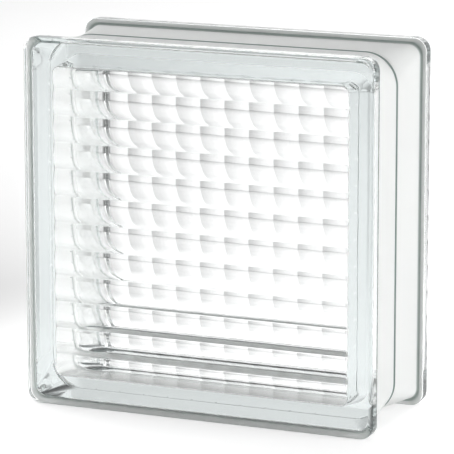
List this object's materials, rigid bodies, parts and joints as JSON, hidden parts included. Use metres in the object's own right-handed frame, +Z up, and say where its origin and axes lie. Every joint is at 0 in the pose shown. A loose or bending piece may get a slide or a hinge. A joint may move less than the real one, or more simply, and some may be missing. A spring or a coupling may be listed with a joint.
{
  "type": "glass block",
  "caption": "Square hollow block of clear pressed glass, fluted inside both faces in crossing directions, with a mortar channel round its edge.",
  "frame": {"origin": "middle of the underside, on the plane of the bottom flange lands and in the plane of the seam", "axes": "+Z up, -Y out of the front face, whose inner flutes run level, +X to the right seen from the front"},
  "size_m": [0.19, 0.08, 0.19],
  "materials": {
    "clear_glass": "clear pressed glass with a faint green tint, fire-polished outer faces and fluted inner faces"
  },
  "bodies": {
    "root": {"front_half": "clear_glass", "back_half": "clear_glass"}
  },
  "joints": []
}
